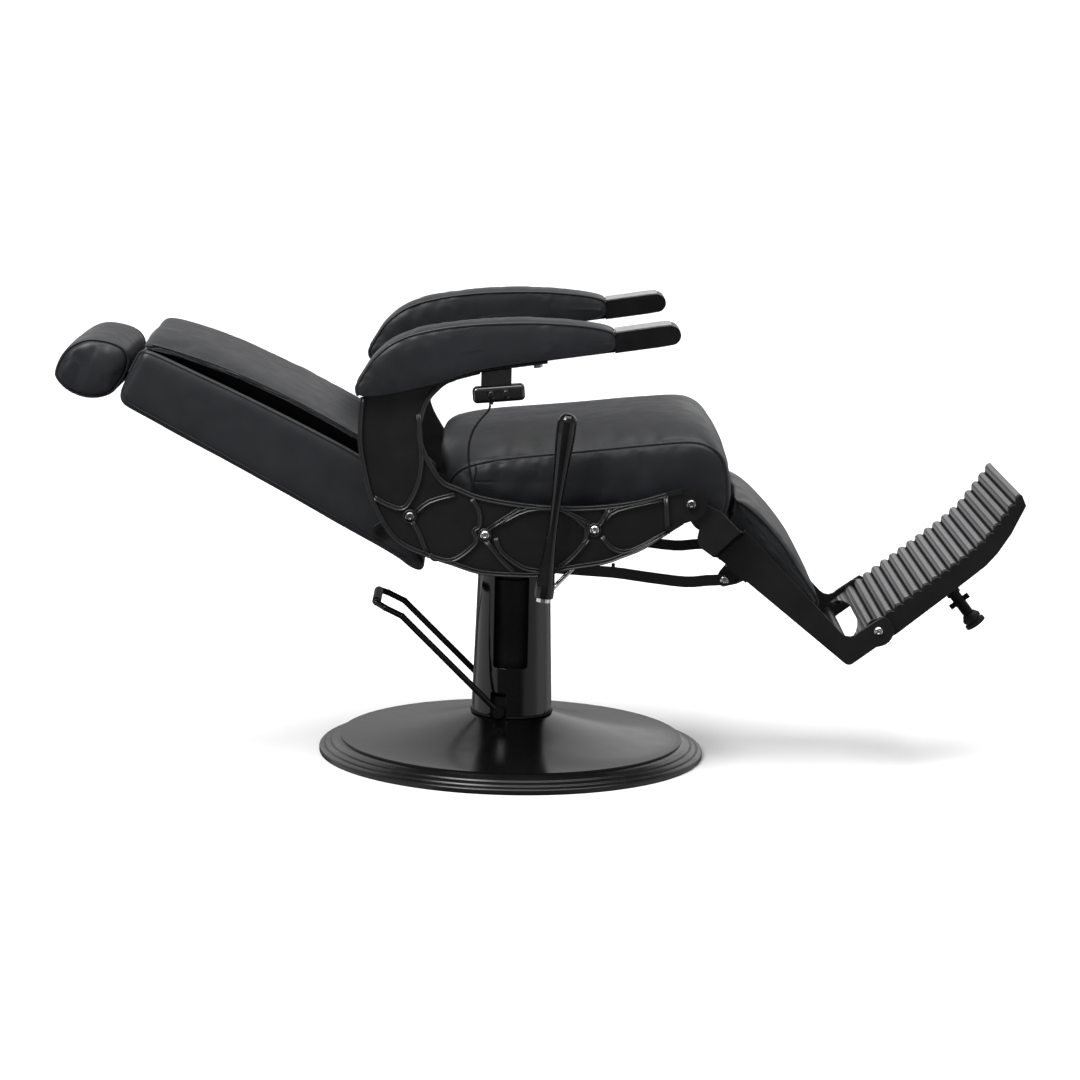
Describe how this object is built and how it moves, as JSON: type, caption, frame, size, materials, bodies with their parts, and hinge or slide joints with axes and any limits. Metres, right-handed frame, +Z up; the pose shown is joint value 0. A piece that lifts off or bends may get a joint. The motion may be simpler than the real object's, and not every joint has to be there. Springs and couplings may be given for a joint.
{
  "type": "hydraulic barber chair",
  "caption": "Hydraulic barber chair shown reclined, with padded arms, coupled leg rest, folding ribbed footplate, headrest and pump pedal on a round base.",
  "frame": {"origin": "centre of the round base on the floor", "axes": "+X towards the chair front, +Y towards the chair left, +Z up"},
  "size_m": [1.6745, 0.685, 0.809],
  "materials": {
    "floor_steel": "matte black underside paint",
    "satin_black": "satin black powder coat",
    "gloss_black": "gloss black lacquer",
    "pump_black": "matte black paint",
    "frame_black": "satin black paint",
    "casting_black": "fine satin black powder coat",
    "tip_black": "satin moulded black",
    "bare_steel": "ground steel",
    "chrome": "polished chrome",
    "silver": "satin silver",
    "silver_tread": "satin cast aluminium",
    "black_rubber": "matte rubber",
    "black_leather": "fine-grain black upholstery",
    "plywood": "bare plywood",
    "gloss_plastic": "gloss black moulding",
    "button_plastic": "polished button",
    "lead_plastic": "black cable jacket"
  },
  "bodies": {
    "base": {"base_plate": "floor_steel", "base_rim": "satin_black", "base_cover": "satin_black", "column_gasket": "black_rubber", "column_cover": "gloss_black", "pump_body": "pump_black", "pump_gland": "pump_black", "flange_bolts": "bare_steel"},
    "pedal": {"pedal_shaft": "bare_steel", "pedal_loop": "satin_black", "pedal_tread": "black_rubber", "pedal_bolts": "bare_steel"},
    "piston": {"piston_rod": "bare_steel"},
    "seat": {"swivel_hub": "frame_black", "seat_frame": "frame_black", "side_panel_right": "casting_black", "side_panel_left": "casting_black", "panel_bolts": "chrome", "pivot_bolts": "chrome", "seat_board": "plywood", "seat_cushion": "black_leather", "arm_pad_right": "black_leather", "arm_pad_left": "black_leather", "arm_tip_right": "tip_black", "arm_tip_left": "tip_black", "arm_cap_right": "silver", "arm_cap_left": "silver", "arm_nuts": "bare_steel", "handset_bracket": "frame_black", "handset_body": "gloss_plastic", "handset_lead": "lead_plastic", "lead_grommet": "black_rubber", "strut_cylinder": "frame_black"},
    "front_button": {"button_front": "button_plastic"},
    "rear_button": {"button_rear": "button_plastic"},
    "lever": {"lever_shaft": "chrome", "lever_grip": "gloss_plastic"},
    "strut": {"strut_rod": "bare_steel"},
    "back": {"back_frame": "frame_black", "back_board": "plywood", "back_shell": "black_leather", "back_cushion": "black_leather", "back_bolts": "bare_steel", "headrest_socket": "frame_black"},
    "headrest": {"headrest_bar": "bare_steel", "headrest_pillow": "black_leather"},
    "legrest": {"leg_arm_right": "casting_black", "leg_arm_left": "casting_black", "leg_crossbar": "frame_black", "calf_board": "plywood", "calf_pad": "black_leather", "link_bolts": "chrome", "foot_pin": "chrome"},
    "right_link": {"link_right": "casting_black"},
    "left_link": {"link_left": "casting_black"},
    "footplate": {"foot_frame": "casting_black", "foot_tread": "silver_tread", "foot_post": "satin_black", "foot_cap": "black_rubber"}
  },
  "joints": [
    {"name": "pump_pedal", "type": "hinge", "parent": "base", "child": "pedal", "pos_m": [-0.024, 0, 0.087], "axis": [0, 1, 0], "range_deg": [-32, 0], "stiffness_Nm_per_rad": 8, "springref_deg": 14.32},
    {"name": "lift", "type": "slide", "parent": "base", "child": "piston", "axis": [0, 0, 1], "range_m": [0, 0.16]},
    {"name": "swivel", "type": "hinge", "parent": "piston", "child": "seat", "pos_m": [0, 0, 0.365], "axis": [0, 0, 1], "continuous": true},
    {"name": "recline", "type": "hinge", "parent": "seat", "child": "back", "pos_m": [-0.18, 0, 0.468], "axis": [0, 1, 0], "range_deg": [0, 46]},
    {"name": "leg_swing", "type": "hinge", "parent": "seat", "child": "legrest", "pos_m": [0.294, 0, 0.498], "axis": [0, 1, 0], "range_deg": [0, 27.2]},
    {"name": "right_link_pin", "type": "hinge", "parent": "legrest", "child": "right_link", "pos_m": [0.361, -0.19, 0.352], "axis": [0, 1, 0], "range_deg": [-26.2, 0]},
    {"name": "left_link_pin", "type": "hinge", "parent": "legrest", "child": "left_link", "pos_m": [0.361, 0.19, 0.352], "axis": [0, 1, 0], "range_deg": [-26.2, 0]},
    {"name": "strut_slide", "type": "slide", "parent": "seat", "child": "strut", "axis": [1, 0, 0], "range_m": [-0.055, 0]},
    {"name": "headrest_slide", "type": "slide", "parent": "back", "child": "headrest", "axis": [-0.8797, 0, 0.4756], "range_m": [0, 0.1]},
    {"name": "footplate_fold", "type": "hinge", "parent": "legrest", "child": "footplate", "pos_m": [0.62824, 0, 0.27005], "axis": [0, 1, 0], "range_deg": [-75, 0]},
    {"name": "recline_lever", "type": "hinge", "parent": "seat", "child": "lever", "pos_m": [0.11, -0.12, 0.388], "axis": [0, 1, 0], "range_deg": [-20, 0], "stiffness_Nm_per_rad": 3, "springref_deg": 20.05},
    {"name": "front_button_press", "type": "slide", "parent": "seat", "child": "front_button", "axis": [0, 1, 0], "range_m": [0, 0.0015], "stiffness_N_per_m": 400, "springref_m": -0.001},
    {"name": "rear_button_press", "type": "slide", "parent": "seat", "child": "rear_button", "axis": [0, 1, 0], "range_m": [0, 0.0015], "stiffness_N_per_m": 400, "springref_m": -0.001}
  ],
  "couplings": [
    {"joint": "leg_swing", "follows": "recline", "ratio": 0.5863},
    {"joint": "right_link_pin", "follows": "recline", "ratio": -0.564},
    {"joint": "left_link_pin", "follows": "recline", "ratio": -0.564},
    {"joint": "strut_slide", "follows": "recline", "m_per_rad": -0.0676}
  ]
}
